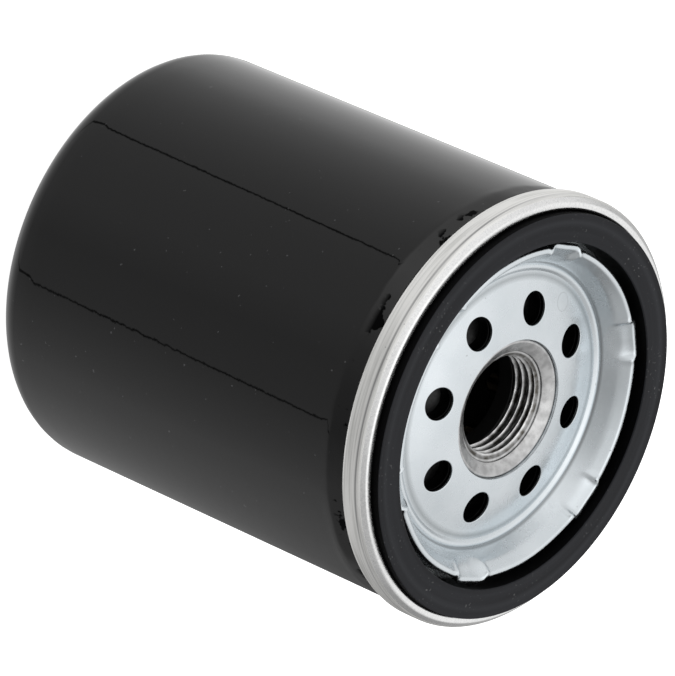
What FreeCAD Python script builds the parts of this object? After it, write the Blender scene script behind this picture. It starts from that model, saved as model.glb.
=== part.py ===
import FreeCAD, Part
import math
import os

# A spin-on oil filter for a small engine, drawn as the separate pieces it is assembled from.
# The axis is +Z. The closed end of the can stands on z = 0 and the threaded end faces up.
# The first inlet hole lies on +X. Lengths are in millimetres and angles in degrees.

# ---- driving dimensions: can and rolled seam ----
can_radius = 38.1
can_sheet = 0.4
can_length = 84.4               # closed end to the lower edge of the rolled seam
end_corner_radius = 4.7
end_recess_radius = 17.0
end_recess_depth = 0.9
seam_radius = 39.1
seam_height = 4.55
seam_clearance = 0.04           # room between the layers of the seam
neck_length = 4.0

# ---- driving dimensions: seaming lid ----
lid_sheet = 0.5
lid_hole_radius = 12.65
lid_hole_rise = 2.6             # height of the hole's edge above the seam's lower edge
lid_valley_radius = 22.6
lid_crease_radius = 25.6
lip_height = 5.0
lip_outer_radius = 29.78
lip_fold_radius = 0.45

# ---- driving dimensions: tapping plate with its 3/4-16 UNF threaded hub ----
plate_thickness = 2.6
plate_radius = 36.9
thread_minor_radius = 8.75
bore_mouth_radius = 10.1
hub_radius = 12.2
hub_depth = 4.9                 # end of the hub below the seam's lower edge
inlet_count = 8
inlet_circle_radius = 18.0
inlet_radius = 2.95

# ---- driving dimensions: gasket ----
gasket_inner_radius = 30.8
gasket_outer_radius = 36.5
gasket_face_rise = 6.19         # sealing face above the seam's lower edge
gasket_edge_radius = 0.9

# ---- driving dimensions: anti-drain-back valve ----
valve_lip_radius = 25.4
valve_web = 0.9
hub_running_clearance = 0.08
finger_count = 6
finger_width = 3.0
finger_sheet = 0.25

# ---- driving dimensions: filter element ----
cap_sheet = 0.4
cap_radius = 34.5
cap_skirt = 4.5
upper_cap_drop = 6.9            # top of the upper end cap below the seam's lower edge
lower_cap_bottom = 12.4
adhesive_thickness = 2.0
tube_inner_radius = 15.0
tube_sheet = 0.5
tube_hole_radius = 1.7
tube_hole_columns = 10
tube_hole_rows = 9
pleat_count = 48
pleat_outer_radius = 33.2
pleat_inner_radius = 16.2
pleat_sheet = 0.5
pleat_bend_radius = 0.5

# ---- driving dimensions: bypass valve and springs ----
bypass_seat_sheet = 0.6
bypass_port_radius = 5.2
bypass_wall_radius = 9.2
bypass_cage_sheet = 0.5
bypass_cage_height = 15.2
bypass_window_count = 4
bypass_disc_radius = 7.6
bypass_seal_thickness = 1.2
bypass_spring_radius = 5.4
bypass_spring_wire = 0.9
bypass_spring_turns = 4.5
element_spring_wire = 2.0
element_spring_turns = 2.5
contact_gap = 0.05              # left where a moving piece rests on its seat

# ---- heights that several pieces share ----
gasket_face = can_length + gasket_face_rise
lid_floor = can_length + 0.3
plate_top = lid_floor - lid_sheet - 0.03
plate_bottom = plate_top - plate_thickness
hub_bottom = can_length - hub_depth
upper_cap_top = can_length - upper_cap_drop
upper_cap_inside = upper_cap_top - cap_sheet
lower_cap_inside = lower_cap_bottom + cap_sheet
bypass_seat_top = lower_cap_inside + 3.1
bypass_disc_bottom = bypass_seat_top + contact_gap + bypass_seal_thickness
bypass_cage_top = lower_cap_inside + bypass_cage_height

ORIGIN = FreeCAD.Vector(0, 0, 0)
AXIS = FreeCAD.Vector(0, 0, 1)
FIT_GAP = 0.02                  # keeps faces that are glued or pressed together from overlapping


def side_point(radius, height):
    """A point of a section through the axis."""
    return FreeCAD.Vector(radius, 0, height)


def plan_point(x, y):
    """A point of a section square to the axis."""
    return FreeCAD.Vector(x, y, 0)


def unit_step(start, end):
    """Unit direction from one corner to the next."""
    length = math.hypot(end[0] - start[0], end[1] - start[1])
    return (end[0] - start[0]) / length, (end[1] - start[1]) / length


def corner_arc(before, corner, after):
    """Entry, middle and exit of the arc that rounds a corner, or one point if it is sharp."""
    u, v, rounding = corner
    if rounding <= 0:
        return [(u, v)]
    arriving = unit_step(before, corner)
    leaving = unit_step(corner, after)
    cosine = arriving[0] * leaving[0] + arriving[1] * leaving[1]
    turn = math.acos(max(-1.0, min(1.0, cosine)))
    reach = rounding * math.tan(turn / 2)
    entry = (u - arriving[0] * reach, v - arriving[1] * reach)
    leave = (u + leaving[0] * reach, v + leaving[1] * reach)
    inward = (leaving[0] - arriving[0], leaving[1] - arriving[1])
    inward_length = math.hypot(*inward)
    depth = rounding / math.cos(turn / 2) - rounding
    middle = (u + inward[0] / inward_length * depth, v + inward[1] / inward_length * depth)
    return [entry, middle, leave]


def closed_wire(corners, point=side_point):
    """Closed outline through corners given as (u, v, rounding)."""
    count = len(corners)
    arcs = []
    for index in range(count):
        arcs.append(corner_arc(corners[index - 1], corners[index], corners[(index + 1) % count]))
    edges = []
    for index, arc in enumerate(arcs):
        if len(arc) == 3:
            edges.append(Part.Arc(point(*arc[0]), point(*arc[1]), point(*arc[2])).toShape())
        following = arcs[(index + 1) % count]
        start = point(*arc[-1])
        end = point(*following[0])
        if start.distanceToPoint(end) > 1e-6:
            edges.append(Part.LineSegment(start, end).toShape())
    return Part.Wire(edges)


def shifted_path(corners, shift):
    """An open path moved sideways, to its left when shift is positive, with its bends kept round."""
    moved = []
    for index, (u, v, rounding) in enumerate(corners):
        arriving = unit_step(corners[index - 1], corners[index]) if index > 0 else None
        leaving = unit_step(corners[index], corners[index + 1]) if index < len(corners) - 1 else None
        arriving = arriving or leaving
        leaving = leaving or arriving
        share = 1 + arriving[0] * leaving[0] + arriving[1] * leaving[1]
        left = (-(arriving[1] + leaving[1]) / share, (arriving[0] + leaving[0]) / share)
        turn = arriving[0] * leaving[1] - arriving[1] * leaving[0]
        bend = rounding - math.copysign(shift, turn * shift) if rounding > 0 else 0
        moved.append((u + left[0] * shift, v + left[1] * shift, bend))
    return moved


def sheet_outline(corners, thickness, point=side_point):
    """Outline of bent sheet whose middle line runs through the given corners."""
    left = shifted_path(corners, thickness / 2)
    right = shifted_path(corners, -thickness / 2)
    return closed_wire(left + right[::-1], point)


def turned(wire):
    """Solid of revolution about the axis."""
    return Part.Face(wire).revolve(ORIGIN, AXIS, 360)


def turned_sheet(corners, thickness):
    """Drawn sheet-metal piece from the middle line of its section."""
    return turned(sheet_outline(corners, thickness))


def washer(inner, outer, bottom, top):
    """Plain ring."""
    corners = [(inner, bottom, 0), (outer, bottom, 0), (outer, top, 0), (inner, top, 0)]
    return turned(closed_wire(corners))


def pin_ring(radius, circle_radius, count, bottom, top):
    """Equally spaced pins parallel to the axis, used to pierce holes."""
    pins = []
    for index in range(count):
        angle = math.radians(360 / count * index)
        base = FreeCAD.Vector(circle_radius * math.cos(angle), circle_radius * math.sin(angle), bottom)
        pins.append(Part.makeCylinder(radius, top - bottom, base))
    return Part.makeCompound(pins)


def wire_along(helix, wire_radius, top):
    """Round wire swept along a helix and turned over, so that the helix's start is at the top."""
    first = helix.Edges[0]
    start = first.valueAt(first.FirstParameter)
    heading = first.tangentAt(first.FirstParameter)
    section = Part.Wire(Part.Circle(start, heading, wire_radius).toShape())
    spring = helix.makePipeShell([section], True, True)
    spring.rotate(ORIGIN, FreeCAD.Vector(1, 0, 0), 180)
    spring.translate(FreeCAD.Vector(0, 0, top - wire_radius))
    return spring


def coil(radius, bottom, top, turns, wire_diameter):
    """Cylindrical round-wire spring between two heights, one face to each turn."""
    height = top - bottom - wire_diameter
    helix = Part.makeLongHelix(height / turns, height, radius)
    return wire_along(helix, wire_diameter / 2, top)


def conical_coil(wide_radius, narrow_radius, bottom, top, turns, wire_diameter):
    """Conical round-wire spring between two heights, wide end down; its pitch runs along the cone."""
    height = top - bottom - wire_diameter
    slant = math.hypot(height, wide_radius - narrow_radius)
    taper = math.degrees(math.acos(height / slant))
    helix = Part.makeHelix(slant / turns, slant, narrow_radius, taper)
    return wire_along(helix, wire_diameter / 2, top)


# ---- housing ----
def seam_layers():
    """Middle radii of the five layers of the double seam, from the outside in."""
    layers = []
    outside = seam_radius
    for sheet in (lid_sheet, can_sheet, lid_sheet, can_sheet, lid_sheet):
        layers.append(outside - sheet / 2)
        outside -= sheet + seam_clearance
    return layers


def make_canister():
    """Deep-drawn can with a shallow recess in its closed end and its body hook in the seam."""
    half = can_sheet / 2
    _, body_hook, _, body_wall, _ = seam_layers()
    hook_top = can_length + seam_height - lid_sheet - seam_clearance - half
    wall = can_radius - half
    path = [
        (0, end_recess_depth + half, 0),
        (end_recess_radius, end_recess_depth + half, 3.0),
        (end_recess_radius + 4.0, half, 3.0),
        (wall, half, end_corner_radius - half),
        (wall, can_length - neck_length, 6.0),
        (body_wall, can_length - 0.9, 3.0),
        (body_wall, hook_top, 0.45),
        (body_hook, hook_top, 0.45),
        (body_hook, can_length + 0.9, 0),
    ]
    return turned_sheet(path, can_sheet)


def make_seaming_lid():
    """Lid with a domed centre, folded lip, gasket channel and cover hook, pierced by the inlets."""
    half = lid_sheet / 2
    outer_wall, _, cover_hook, _, chuck_wall = seam_layers()
    floor = lid_floor - half
    lip_top = can_length + lip_height - half
    channel_wall = lip_outer_radius - half
    seam_top = can_length + seam_height - half
    seam_foot = can_length + 0.15
    path = [
        (lid_hole_radius, can_length + lid_hole_rise - half, 0),
        (lid_valley_radius, floor + 0.1, 4.0),
        (lid_valley_radius + 1.7, floor + 0.7, 0.8),
        (lid_crease_radius, floor, 0.35),
        (lid_crease_radius + 1.3, floor + 0.85, 3.0),
        (channel_wall - 2 * lip_fold_radius, lip_top, lip_fold_radius),
        (channel_wall, lip_top, lip_fold_radius),
        (channel_wall, floor, 0.5),
        (chuck_wall, floor, 0.5),
        (chuck_wall, seam_top, 0.6),
        (outer_wall, seam_top, 0.75),
        (outer_wall, seam_foot, 0.45),
        (cover_hook, seam_foot, 0.45),
        (cover_hook, can_length + 3.0, 0),
    ]
    lid = turned_sheet(path, lid_sheet)
    inlets = pin_ring(inlet_radius, inlet_circle_radius, inlet_count, plate_bottom, gasket_face)
    return lid.cut(inlets)


def make_tapping_plate():
    """Thick pressed plate with an extruded hub, tapped 3/4-16 UNF and drawn at its minor radius."""
    crown = can_length + lid_hole_rise - lid_sheet - 0.05
    corners = [
        (thread_minor_radius, hub_bottom, 0),
        (hub_radius, hub_bottom, 0),
        (hub_radius, crown - plate_thickness, 0.6),
        (lid_hole_radius + 1.0, crown - plate_thickness, 2.0),
        (lid_valley_radius - 1.0, plate_bottom, 3.0),
        (plate_radius, plate_bottom, 0.4),
        (plate_radius, plate_top, 0.4),
        (lid_valley_radius - 0.6, plate_top, 2.0),
        (lid_hole_radius, crown, 1.0),
        (bore_mouth_radius, crown - 0.9, 0.3),
        (thread_minor_radius, crown - 0.9 - (bore_mouth_radius - thread_minor_radius), 0),
    ]
    plate = turned(closed_wire(corners))
    inlets = pin_ring(inlet_radius + 0.1, inlet_circle_radius, inlet_count, hub_bottom, gasket_face)
    return plate.cut(inlets)


def make_gasket():
    """Square-section nitrile gasket held in the lid's channel."""
    bottom = lid_floor + FIT_GAP
    corners = [
        (gasket_inner_radius, bottom, 0.2),
        (gasket_outer_radius, bottom, 0.2),
        (gasket_outer_radius, gasket_face, 0.35),
        (gasket_inner_radius, gasket_face, gasket_edge_radius),
    ]
    return turned(closed_wire(corners))


def make_seam_sealant():
    """Lining compound in the pocket between the two hooks of the seam."""
    outer_wall, _, cover_hook, _, _ = seam_layers()
    inner = cover_hook + lid_sheet / 2 + FIT_GAP
    outer = outer_wall - lid_sheet / 2 - FIT_GAP
    return washer(inner, outer, can_length + 0.62, can_length + 0.88)


# ---- anti-drain-back valve ----
def make_anti_drain_valve():
    """Rubber diaphragm that slides on the hub and seals against the plate outside the inlets."""
    inner = hub_radius + hub_running_clearance
    seat = plate_bottom - contact_gap
    web_top = seat - 0.25
    web_bottom = web_top - valve_web
    corners = [
        (inner, web_bottom - 0.4, 0),
        (inner + 2.2, web_bottom - 0.4, 0.3),
        (inner + 3.0, web_bottom, 0.3),
        (valve_lip_radius - 0.6, web_bottom, 0.4),
        (valve_lip_radius, seat - 0.5, 0.3),
        (valve_lip_radius, seat, 0.1),
        (valve_lip_radius - 1.3, seat, 0.1),
        (valve_lip_radius - 2.0, web_top, 0.3),
        (inner + 3.2, web_top, 0.6),
        (inner + 1.3, seat + 1.6, 0.4),
        (inner, seat + 1.6, 0),
    ]
    return turned(closed_wire(corners))


def make_anti_drain_spring():
    """Stamped ring with bent fingers that hold the valve up against the plate."""
    foot = upper_cap_top + FIT_GAP + finger_sheet / 2
    tip = plate_bottom - contact_gap - 0.25 - valve_web - FIT_GAP - finger_sheet / 2
    path = [(16.0, foot, 0), (17.8, foot, 1.0), (22.0, tip, 1.0), (23.2, tip, 0)]
    outline = sheet_outline(path, finger_sheet)
    finger = Part.Face(outline).extrude(FreeCAD.Vector(0, finger_width, 0))
    finger.translate(FreeCAD.Vector(0, -finger_width / 2, 0))
    ring = washer(14.6, 17.0, foot - finger_sheet / 2, foot + finger_sheet / 2)
    for index in range(finger_count):
        placed = finger.copy()
        placed.rotate(ORIGIN, AXIS, 360 / finger_count * (index + 0.5))
        ring = ring.fuse(placed)
    return ring.removeSplitter()


# ---- filter element ----
def make_element_seal():
    """Grommet in the upper end cap that seals against the end of the hub."""
    inner = thread_minor_radius + 0.45
    top = hub_bottom - contact_gap
    waist = 10.15
    corners = [
        (inner, upper_cap_inside - 0.9, 0.2),
        (waist + 1.05, upper_cap_inside - 0.9, 0.4),
        (waist + 1.05, upper_cap_inside - FIT_GAP, 0),
        (waist, upper_cap_inside - FIT_GAP, 0),
        (waist, upper_cap_top + FIT_GAP, 0),
        (hub_radius - 0.3, upper_cap_top + FIT_GAP, 0),
        (hub_radius - 0.3, top, 0.3),
        (inner, top, 0.3),
    ]
    return turned(closed_wire(corners))


def make_end_cap(hole_radius, face, direction):
    """Pressed cap whose skirt points along direction, +1 up or -1 down, from its outer face."""
    half = cap_sheet / 2
    middle = face + direction * half
    path = [
        (hole_radius, middle, 0),
        (cap_radius - half, middle, 1.0),
        (cap_radius - half, middle + direction * cap_skirt, 0),
    ]
    return turned_sheet(path, cap_sheet)


def make_upper_end_cap():
    """End cap on the thread side, with a hole for the grommet."""
    return make_end_cap(10.2, upper_cap_top, -1)


def make_lower_end_cap():
    """End cap on the closed side, with a hole for the bypass valve."""
    return make_end_cap(bypass_wall_radius + 0.45, lower_cap_bottom, 1)


def make_adhesive(cap_inside, direction):
    """Ring of plastisol that bonds the pleats and the tube into an end cap."""
    near = cap_inside + direction * FIT_GAP
    far = cap_inside + direction * adhesive_thickness
    inner = tube_inner_radius + tube_sheet + FIT_GAP
    outer = cap_radius - cap_sheet - FIT_GAP
    corners = [(inner, near, 0), (outer, near, 1.0), (outer, far, 0), (inner, far, 0)]
    return turned(closed_wire(corners))


def make_upper_adhesive():
    """Plastisol ring in the upper end cap."""
    return make_adhesive(upper_cap_inside, -1)


def make_lower_adhesive():
    """Plastisol ring in the lower end cap."""
    return make_adhesive(lower_cap_inside, 1)


def make_center_tube():
    """Perforated steel tube that carries the pleats."""
    bottom = lower_cap_inside + FIT_GAP
    top = upper_cap_inside - FIT_GAP
    outer = tube_inner_radius + tube_sheet
    tube = washer(tube_inner_radius, outer, bottom, top)
    row_pitch = (top - bottom) / (tube_hole_rows + 1)
    punches = []
    for row in range(tube_hole_rows):
        stagger = 180 / tube_hole_columns * (row % 2)
        for column in range(tube_hole_columns // 2):
            height = bottom + row_pitch * (row + 1)
            punch = Part.makeCylinder(
                tube_hole_radius,
                2 * outer + 2,
                FreeCAD.Vector(-outer - 1, 0, height),
                FreeCAD.Vector(1, 0, 0),
            )
            punch.rotate(ORIGIN, AXIS, stagger + 360 / tube_hole_columns * column)
            punches.append(punch)
    return tube.cut(Part.makeCompound(punches))


def pleat_loop(side):
    """Closed outline of one side of the folded paper, side being +1 outside or -1 inside."""
    half = pleat_sheet / 2
    outer_bend = pleat_bend_radius + side * half
    inner_bend = pleat_bend_radius - side * half
    outer_centre = pleat_outer_radius - pleat_bend_radius - half
    inner_centre = pleat_inner_radius + pleat_bend_radius + half
    step = 360 / pleat_count
    arcs = []
    for index in range(pleat_count):
        for offset, centre, bend, outward in ((0, outer_centre, outer_bend, 1),
                                              (0.5, inner_centre, inner_bend, -1)):
            angle = math.radians(step * (index + offset))
            radial = plan_point(math.cos(angle), math.sin(angle))
            across = plan_point(-math.sin(angle), math.cos(angle)) * bend
            middle = radial * centre
            arcs.append((middle - across, middle + radial * (outward * bend), middle + across))
    edges = []
    for index, (start, tip, end) in enumerate(arcs):
        edges.append(Part.Arc(start, tip, end).toShape())
        following = arcs[(index + 1) % len(arcs)][0]
        edges.append(Part.LineSegment(end, following).toShape())
    return Part.Wire(edges)


def make_pleated_media():
    """Filter paper folded into deep pleats around the tube."""
    bottom = lower_cap_inside + adhesive_thickness + FIT_GAP
    top = upper_cap_inside - adhesive_thickness - FIT_GAP
    outside = Part.Face(pleat_loop(1))
    inside = Part.Face(pleat_loop(-1))
    rise = FreeCAD.Vector(0, 0, top - bottom)
    media = outside.extrude(rise).cut(inside.extrude(rise))
    media.translate(FreeCAD.Vector(0, 0, bottom))
    return media


def make_media_seam_clip():
    """Steel channel crimped over the pleat where the two ends of the paper meet."""
    bottom = lower_cap_inside + adhesive_thickness + 0.4
    top = upper_cap_inside - adhesive_thickness - 0.4
    reach = pleat_outer_radius + 0.3
    path = [(28.0, 1.2, 0), (reach, 1.2, 0.6), (reach, -1.2, 0.6), (28.0, -1.2, 0)]
    outline = sheet_outline(path, 0.3, plan_point)
    clip = Part.Face(outline).extrude(FreeCAD.Vector(0, 0, top - bottom))
    clip.translate(FreeCAD.Vector(0, 0, bottom))
    clip.rotate(ORIGIN, AXIS, 360 / pleat_count * 12)
    return clip


# ---- bypass valve ----
def make_bypass_seat():
    """Stamped seat pressed into the lower end cap, with the port that the valve closes."""
    half = bypass_seat_sheet / 2
    wall = bypass_wall_radius - half
    flange = lower_cap_bottom - FIT_GAP - half
    port_face = bypass_seat_top - half
    path = [
        (bypass_port_radius, port_face, 0),
        (wall, port_face, 0.7),
        (wall, flange, 0.7),
        (12.6, flange, 0),
    ]
    return turned_sheet(path, bypass_seat_sheet)


def make_bypass_cage():
    """Windowed cup over the seat that holds the top of the bypass spring."""
    half = bypass_cage_sheet / 2
    wall = bypass_wall_radius + 0.04 + half
    flange = lower_cap_inside + FIT_GAP + half
    path = [
        (2.6, bypass_cage_top - half, 0),
        (wall, bypass_cage_top - half, 1.2),
        (wall, flange, 0.6),
        (11.6, flange, 0),
    ]
    cage = turned_sheet(path, bypass_cage_sheet)
    for index in range(bypass_window_count):
        window = Part.makeBox(6, 8, 6.5, FreeCAD.Vector(6.5, -4, bypass_seat_top + 1.8))
        window.rotate(ORIGIN, AXIS, 360 / bypass_window_count * index)
        cage = cage.cut(window)
    return cage


def make_bypass_seal():
    """Nitrile washer on the underside of the bypass disc."""
    bottom = bypass_seat_top + contact_gap
    return washer(bypass_port_radius - 0.6, bypass_disc_radius - 0.2, bottom, bypass_disc_bottom)


def make_bypass_disc():
    """Stamped disc with a raised centre that locates the spring."""
    middle = bypass_disc_bottom + FIT_GAP + bypass_cage_sheet / 2
    path = [(0, middle + 1.5, 0), (3.0, middle + 1.5, 0.8), (3.8, middle, 0.8), (bypass_disc_radius, middle, 0)]
    return turned_sheet(path, bypass_cage_sheet)


def make_bypass_spring():
    """Light compression spring that keeps the bypass disc on its seat."""
    bottom = bypass_disc_bottom + FIT_GAP + bypass_cage_sheet + FIT_GAP
    top = bypass_cage_top - bypass_cage_sheet - FIT_GAP
    return coil(bypass_spring_radius, bottom, top, bypass_spring_turns, bypass_spring_wire)


def make_element_spring():
    """Conical spring between the closed end of the can and the lower end cap."""
    bottom = can_sheet + contact_gap
    top = lower_cap_bottom - contact_gap
    return conical_coil(26.0, 17.0, bottom, top, element_spring_turns, element_spring_wire)


PIECES = {
    "canister": make_canister,
    "seaming_lid": make_seaming_lid,
    "tapping_plate": make_tapping_plate,
    "gasket": make_gasket,
    "seam_sealant": make_seam_sealant,
    "anti_drain_valve": make_anti_drain_valve,
    "anti_drain_spring": make_anti_drain_spring,
    "element_seal": make_element_seal,
    "upper_end_cap": make_upper_end_cap,
    "upper_adhesive": make_upper_adhesive,
    "pleated_media": make_pleated_media,
    "media_seam_clip": make_media_seam_clip,
    "center_tube": make_center_tube,
    "lower_adhesive": make_lower_adhesive,
    "lower_end_cap": make_lower_end_cap,
    "bypass_seat": make_bypass_seat,
    "bypass_cage": make_bypass_cage,
    "bypass_seal": make_bypass_seal,
    "bypass_disc": make_bypass_disc,
    "bypass_spring": make_bypass_spring,
    "element_spring": make_element_spring,
}

os.makedirs("parts", exist_ok=True)
for name, make_piece in PIECES.items():
    shape = make_piece()
    shape.exportStep("parts/" + name + ".step")
    box = shape.BoundBox
    print(name, shape.ShapeType, len(shape.Solids), shape.isValid(),
          round(shape.Volume, 1), round(box.ZMin, 2), round(box.ZMax, 2), round(box.XMax, 2))
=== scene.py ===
import math
import bmesh
import bpy
from mathutils import Matrix, Vector, noise


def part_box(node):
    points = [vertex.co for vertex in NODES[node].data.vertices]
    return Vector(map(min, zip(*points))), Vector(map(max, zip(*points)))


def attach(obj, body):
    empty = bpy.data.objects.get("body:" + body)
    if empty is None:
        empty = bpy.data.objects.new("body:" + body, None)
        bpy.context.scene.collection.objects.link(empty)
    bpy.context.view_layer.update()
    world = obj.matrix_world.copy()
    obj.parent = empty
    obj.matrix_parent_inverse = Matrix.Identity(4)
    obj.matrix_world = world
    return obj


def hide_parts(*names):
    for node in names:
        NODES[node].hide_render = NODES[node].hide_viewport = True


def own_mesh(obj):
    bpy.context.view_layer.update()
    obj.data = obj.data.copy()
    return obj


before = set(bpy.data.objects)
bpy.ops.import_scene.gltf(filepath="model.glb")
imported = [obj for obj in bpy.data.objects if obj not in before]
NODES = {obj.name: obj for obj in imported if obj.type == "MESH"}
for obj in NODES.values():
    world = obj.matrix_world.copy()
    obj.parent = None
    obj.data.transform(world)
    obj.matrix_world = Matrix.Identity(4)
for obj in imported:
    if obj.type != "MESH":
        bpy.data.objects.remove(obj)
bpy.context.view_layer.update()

# Looks of a spin-on oil filter, built around its CAD frame. Sections are drawn in millimetres as
# (radius, height) and turned about +Z; MM takes them to metres when a mesh is made.

MM = 0.001


def low(node, axis=2):
    """Lowest coordinate of a CAD node in millimetres."""
    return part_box(node)[0][axis] / MM


def high(node, axis=2):
    """Highest coordinate of a CAD node in millimetres."""
    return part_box(node)[1][axis] / MM


# ---- sizes read from the frame ----
SEAM_OVERHANG = 0.1             # the CAD lid's rolled edge hangs this far below the seam's foot
SEAM_FOOT = low("seaming_lid") + SEAM_OVERHANG
SEAM_RADIUS = high("seaming_lid", 0)
GASKET_FACE = high("gasket")
GASKET_RADIUS = high("gasket", 0)
PLATE_RADIUS = high("tapping_plate", 0)
PLATE_FOOT = low("tapping_plate")
CAP_FOOT = low("lower_end_cap")

# ---- can ----
CAN_SHEET = 0.4
CAN_RADIUS = 38.1
END_RECESS_RADIUS = 17.0
END_RECESS_DEPTH = 0.9
END_RECESS_SLOPE = 4.0
END_RECESS_BEND = 3.0
END_CORNER = 4.7
NECK_START = SEAM_FOOT - 4.0
NECK_END = SEAM_FOOT - 0.9
NECK_OUTER_BEND = 6.0
NECK_INNER_BEND = 3.0
BODY_HOOK_END = SEAM_FOOT + 0.9
NECK_ZONE = 10.0                # the can is finely meshed this far below the seam's foot
DENT_DEPTH = 0.06
DENTS_FADE_ABOVE = 1.2          # dents fade out over this much below the seam
DENTS_REACH = 6.5               # and end this far below it
DENTS_FADE_BELOW = 3.0
DENTS_AROUND = 6
DENTS_PER_MM = 0.25
FINE_DENT_SHARE = 0.4
FINE_DENT_SCALE = 2.7

# ---- seam ----
LID_SHEET = 0.5
SEAM_LAYER_GAP = 0.04
SEAM_HEIGHT = 5.1
SEAM_ROLL_FOOT = SEAM_FOOT + 0.42
ROLL_BEND = 0.45
COVER_HOOK_END = SEAM_FOOT + 3.0
LID_FLOOR = SEAM_FOOT + 0.3
FOLD_LINE = SEAM_FOOT + 3.5     # fine line pressed round the outer band
FOLD_DEPTH = 0.10
FOLD_HALF_WIDTH = 0.16
SHOULDER_FOOT = SEAM_FOOT + 3.8
SHOULDER_WIDTH = 0.95
SHOULDER_BEND = 0.3
SEAM_TOP_BEND = 0.4

# ---- lid face ----
LID_HOLE = 12.65
LID_HOLE_RISE = 2.6
DOME_SLOPE = 0.07
DOME_CURVE = 0.0115
DOME_STEP = 1.8
DOME_STEPS = 4
DOME_BEND = 30.0
DOME_RIM = 22.8
DOME_RIM_BEND = 4.0
VALLEY = 24.4
VALLEY_RISE = 0.02
VALLEY_BEND = 0.3
BEAD = 25.15
BEAD_RISE = 0.55
FLOOR_BEND = 0.5
CREASE = 26.0                   # foot of the conical wall
CREASE_DROP = 0.02
CREASE_BEND = 0.27
# Radius of the painted shade line round the valley at the dome's rim.
VALLEY_SHADE_CIRCLE = 23.6
FLARE = 27.7
FLARE_RISE = 3.3
FLARE_BEND = 2.5
LIP_HEIGHT = 5.1
LIP_RADIUS = 30.0
LIP_FOLD = 0.35
SEAM_MOUTH_BEND = 0.3

# ---- crimps of the lip ----
CRIMPS = 6
CRIMP_FIRST = math.radians(30)
CRIMP_HALF_WIDTH = math.radians(7.4)
CRIMP_EDGE = math.radians(0.6)
CRIMP_INNER = 26.5              # the crimps and waves leave the lid alone inside this radius
CRIMP_OUTER = LIP_RADIUS + 0.4
CRIMP_PUSH = 0.9
CRIMP_MIDDLE_SHARE = 0.8        # push at the middle of a crimp as a share of that at its ends
CRIMP_DEPTH = 4.0
CRIMP_END_RISE = 1.6            # a crimp is this much shallower at its ends
CRIMP_DROP = 0.20
CRIMP_PINCH = math.radians(1.2)
CRIMP_PINCH_PULL = 0.42
CRIMP_PINCH_RISE = 0.22
CRIMP_SHOULDER = math.radians(4.0)
CRIMP_SHOULDER_PUSH = 0.10
LIP_WORKED = 2.4                # pinches and waves fade out over this much below the lip
SLOW_WAVE = 0.05
SLOW_WAVES = 5
SLOW_WAVE_PHASE = 1.0
FAST_WAVE = 0.03
FAST_WAVES = 13

# ---- spot weld between lid and plate ----
WELD_CIRCLE = 21.0
WELD_AZIMUTH = math.radians(247.5)
WELD_RADIUS = 1.6
WELD_LINE = 0.07

# ---- inlets, hub and 3/4-16 thread ----
INLETS = 8
INLET_CIRCLE = 18.0
INLET_RADIUS = 2.95
INLET_ROLL = 0.12
PIERCED_FROM = 13.9             # the inlets are cut in the ring between these two radii
PIERCED_TO = 22.0
PLATE_THICKNESS = 2.5
PLATE_EDGE = 0.4
PLATE_BEND = 21.6
PLATE_BEND_SHIFT = 0.4          # the bend in the plate's top lies this much further out
PLATE_ROUNDING = 2.0
PLATE_UNDER_ROUNDING = 3.0
PLATE_LID_GAP = 0.03
PLATE_INLET_EXTRA = 0.1
PLATE_INLET_ROLL = 0.1
CROWN_LID_GAP = 0.05
HUB_RADIUS = 12.2
HUB_EDGE = 0.3
HUB_ROOT_BEND = 0.6
HUB_ROOT_REACH = 1.0
BOSS_GAP = 0.12                 # the raised boss stands this far inside the lid's hole
BOSS_EDGE = 0.4
BOSS_FOOT_RISE = 0.02
BOSS_FOOT_BEND = 0.05
BORE_MOUTH = 10.1
MOUTH_DROP = 0.9
MOUTH_DEPTH = 0.35
MOUTH_TAPER = 0.1
MOUTH_EDGE = 0.15
MOUTH_FOOT_BEND = 0.08
COUNTERSINK_LEDGE = 0.1
COUNTERSINK_DEPTH = 0.35
COUNTERSINK_BEND = 0.1
THREAD_MINOR = 8.75
THREAD_MAJOR = 9.56
THREAD_PITCH = 25.4 / 16
CREST_FLAT = 0.125              # half of the crest's flat, in pitches
ROOT_FLAT = 0.0625              # half of the root's flat, in pitches
THREAD_RELIEF = 0.5

# ---- springs ----
ELEMENT_WIRE = 2.0
ELEMENT_COIL_WIDE = 26.0
ELEMENT_COIL_NARROW = 17.0
ELEMENT_TURNS = 3.6
ELEMENT_COIL_GAP = 0.1          # room between the coil's ends and the sheets they press on
BYPASS_WIRE = 0.9
BYPASS_COIL = 5.4
BYPASS_TURNS = 6.0
BYPASS_DISC_CROWN = 1.5         # the disc's crown stands this far inside the coil
BYPASS_COIL_GAP = 0.03
CAGE_SHEET = 0.55               # the cage's sheet and the room under it
COIL_STEPS = 40                 # points along one turn
COIL_FLAT_TURN = 0.7            # part of a turn that lies flat at each end
COIL_SOFTENING = 0.35
WIRE_END_SWELLS = (0.35, 0.8)   # radii of the rings that round off a wire's end, as shares

# ---- gasket ----
GASKET_INNER = 31.35
GASKET_INNER_RISE = 0.28
GASKET_OUTER_RISE = 0.16
GASKET_EDGE = 0.2
GASKET_BULGE = 0.2
GASKET_BULGE_SHARE = 0.4        # of the bulge, swells all the way round
GASKET_BULGE_AZIMUTH = math.radians(140)
WORN_BAND = 34.9                # middle of the ring worn pale on the gasket's face

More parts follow.
